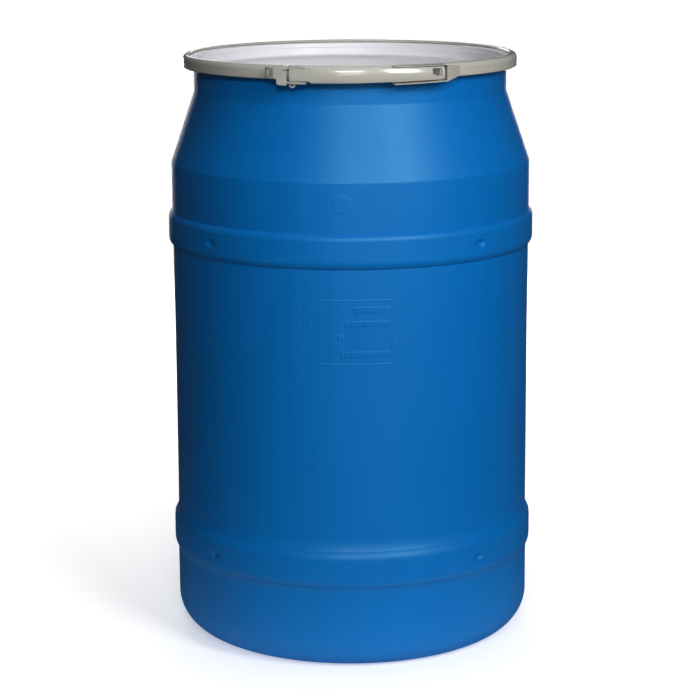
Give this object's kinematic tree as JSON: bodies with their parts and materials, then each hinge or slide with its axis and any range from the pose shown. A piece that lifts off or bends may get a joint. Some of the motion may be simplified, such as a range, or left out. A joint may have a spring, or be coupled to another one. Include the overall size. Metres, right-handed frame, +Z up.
{
  "type": "open head drum",
  "caption": "Open-head plastic drum with two rolling hoops, a sloping shoulder, a dished removable lid and a steel lever-lock ring with an over-centre lever.",
  "frame": {"origin": "middle of the base, on the surface the drum stands on", "axes": "+Z up along the drum's axis; the latch faces -Y"},
  "size_m": [0.584, 0.584, 0.938],
  "materials": {
    "blue_plastic": "blow-moulded polyethylene, soft satin gloss",
    "white_plastic": "injection-moulded polyethylene, satin",
    "grey_rubber": "foamed rubber, matt",
    "ring_paint": "gloss enamel on rolled steel",
    "zinc_steel": "zinc plated"
  },
  "bodies": {
    "drum": {"drum_body": "blue_plastic"},
    "lid": {"lid": "white_plastic", "lid_gasket": "grey_rubber"},
    "ring": {"lock_ring_band": "ring_paint", "anchor_bracket": "ring_paint", "fulcrum_bracket": "ring_paint", "lever_guard": "ring_paint", "fulcrum_pin": "ring_paint", "anchor_rivet_1": "zinc_steel", "anchor_rivet_2": "zinc_steel", "fulcrum_rivet_1": "zinc_steel", "fulcrum_rivet_2": "zinc_steel", "guard_rivet_1": "zinc_steel", "guard_rivet_2": "zinc_steel"},
    "lever": {"lever": "ring_paint", "toggle_pin": "zinc_steel"},
    "claw": {"claw_link": "ring_paint"}
  },
  "joints": [
    {"name": "lid_lift", "type": "slide", "parent": "drum", "child": "lid", "axis": [0, 0, 1], "range_m": [0, 0.25], "deforming": ["lock_ring_band"]},
    {"name": "ring_lift", "type": "slide", "parent": "lid", "child": "ring", "axis": [0, 0, 1], "range_m": [0, 0.15], "deforming": ["lock_ring_band"]},
    {"name": "lever_swing", "type": "hinge", "parent": "ring", "child": "lever", "pos_m": [-0.08497, -0.25997, 0.9237], "axis": [0, 0, -1], "range_deg": [0, 110]},
    {"name": "claw_swing", "type": "hinge", "parent": "lever", "child": "claw", "pos_m": [-0.06551, -0.26471, 0.9237], "axis": [0, 0, 1], "range_deg": [0, 85]}
  ],
  "couplings": [
    {"joint": "claw_swing", "follows": "lever_swing", "ratio": 0.77}
  ]
}
